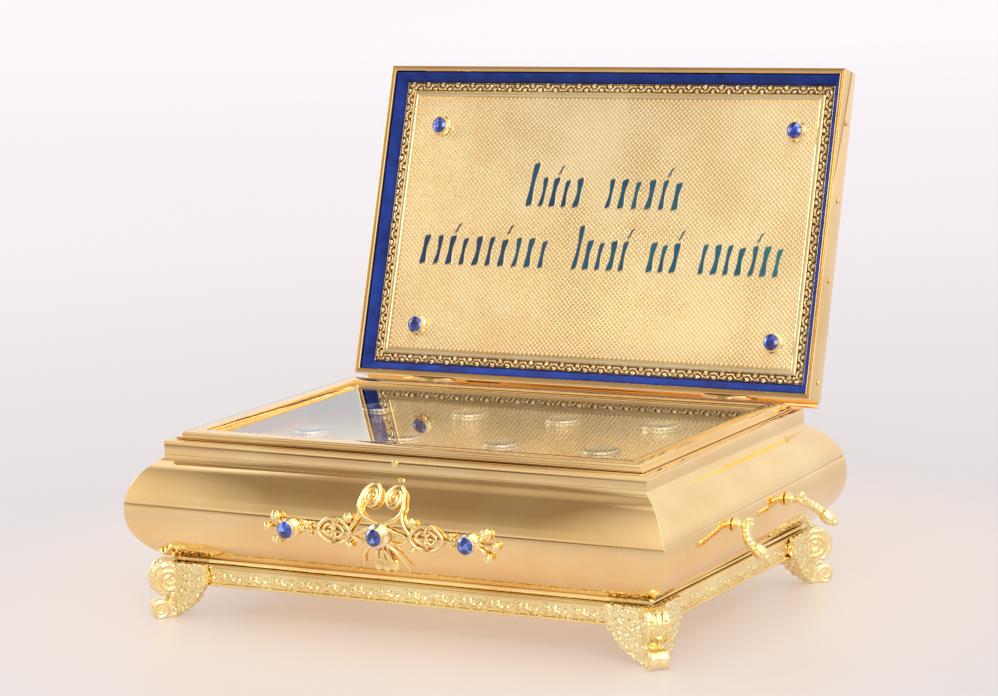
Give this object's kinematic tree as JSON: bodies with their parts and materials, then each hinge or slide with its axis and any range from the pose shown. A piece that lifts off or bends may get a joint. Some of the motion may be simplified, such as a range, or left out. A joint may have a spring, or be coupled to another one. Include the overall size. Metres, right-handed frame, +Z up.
{
  "type": "reliquary casket",
  "caption": "Gilded bombe reliquary casket on scroll feet, with a glazed flat top over relic capsules, a jewelled front ornament, scroll arms and a velvet-lined hinged lid that stands open.",
  "frame": {"origin": "middle of the bounding box's foot, on the surface the feet stand on, with the lid open as at rest", "axes": "+X to the right of someone facing the casket, +Y from its jewelled front to its hinges, +Z up"},
  "size_m": [0.387, 0.2984, 0.2818],
  "materials": {
    "polished_gilding": "mirror-polished gilding",
    "cast_gilding": "bright cast gilding with satin hollows",
    "chased_gilding": "chased and satin gilding",
    "clear_glass": "clear and polished",
    "blue_stone": "faceted and polished",
    "blue_velvet": "soft short pile"
  },
  "bodies": {
    "casket": {"body_shell": "polished_gilding", "base_moulding": "cast_gilding", "base_plinth": "chased_gilding", "foot_back_right": "cast_gilding", "foot_back_left": "cast_gilding", "foot_front_left": "cast_gilding", "foot_front_right": "cast_gilding", "glass_frame": "polished_gilding", "glass_pane": "clear_glass", "relic_plate": "chased_gilding", "relic_glass_1": "clear_glass", "relic_glass_2": "clear_glass", "relic_glass_3": "clear_glass", "relic_glass_4": "clear_glass", "relic_glass_5": "clear_glass", "relic_glass_6": "clear_glass", "relic_glass_7": "clear_glass", "relic_glass_8": "clear_glass", "front_ornament": "cast_gilding", "front_bezel_left": "cast_gilding", "front_bezel_middle": "cast_gilding", "front_bezel_right": "cast_gilding", "front_stone_left": "blue_stone", "front_stone_middle": "blue_stone", "front_stone_right": "blue_stone", "arm_right_front": "cast_gilding", "arm_right_back": "cast_gilding", "arm_left_front": "cast_gilding", "arm_left_back": "cast_gilding", "rim_rivet": "polished_gilding", "hinge_leaf_body_left": "polished_gilding", "hinge_leaf_body_right": "polished_gilding", "hinge_pin_left": "polished_gilding", "hinge_pin_right": "polished_gilding"},
    "lid": {"lid_shell": "polished_gilding", "lid_velvet": "blue_velvet", "lid_panel": "chased_gilding", "lid_bezel_1": "cast_gilding", "lid_bezel_2": "cast_gilding", "lid_bezel_3": "cast_gilding", "lid_bezel_4": "cast_gilding", "lid_stone_1": "blue_stone", "lid_stone_2": "blue_stone", "lid_stone_3": "blue_stone", "lid_stone_4": "blue_stone", "hinge_leaf_lid_left": "polished_gilding", "hinge_leaf_lid_right": "polished_gilding", "lid_screw_left_1": "polished_gilding", "lid_screw_left_2": "polished_gilding", "lid_screw_left_3": "polished_gilding", "lid_screw_left_4": "polished_gilding", "lid_screw_right_1": "polished_gilding", "lid_screw_right_2": "polished_gilding", "lid_screw_right_3": "polished_gilding", "lid_screw_right_4": "polished_gilding"}
  },
  "joints": [
    {"name": "lid_hinge", "type": "hinge", "parent": "casket", "child": "lid", "pos_m": [0, 0.0719, 0.0981], "axis": [1, 0, 0], "range_deg": [0, 108.6]}
  ]
}
